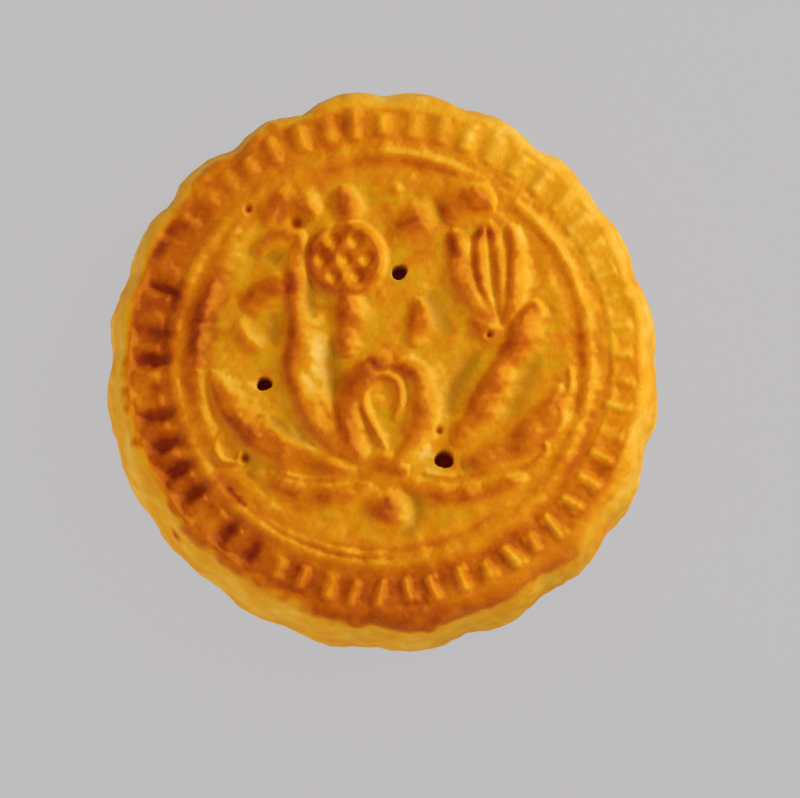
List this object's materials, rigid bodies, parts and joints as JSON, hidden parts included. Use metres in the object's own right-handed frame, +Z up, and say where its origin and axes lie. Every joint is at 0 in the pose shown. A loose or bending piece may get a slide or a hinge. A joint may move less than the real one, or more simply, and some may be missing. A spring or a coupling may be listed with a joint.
{
  "type": "mooncake",
  "caption": "Round baked mooncake with scalloped sides and a stamped face: a border of radial bars, rings, and raised lotus ornament with pricked vents.",
  "frame": {"origin": "centre of the flat underside, on the surface that the cake rests on", "axes": "+Z up, out of the stamped face; +Y towards the top of the stamped design; +X to its right"},
  "size_m": [0.0795, 0.0814, 0.0221],
  "materials": {
    "crust": "baked egg-washed pastry: golden to orange brown, darker on the rim and raised design, with a soft satin sheen"
  },
  "bodies": {
    "root": {"mooncake": "crust"}
  },
  "joints": []
}
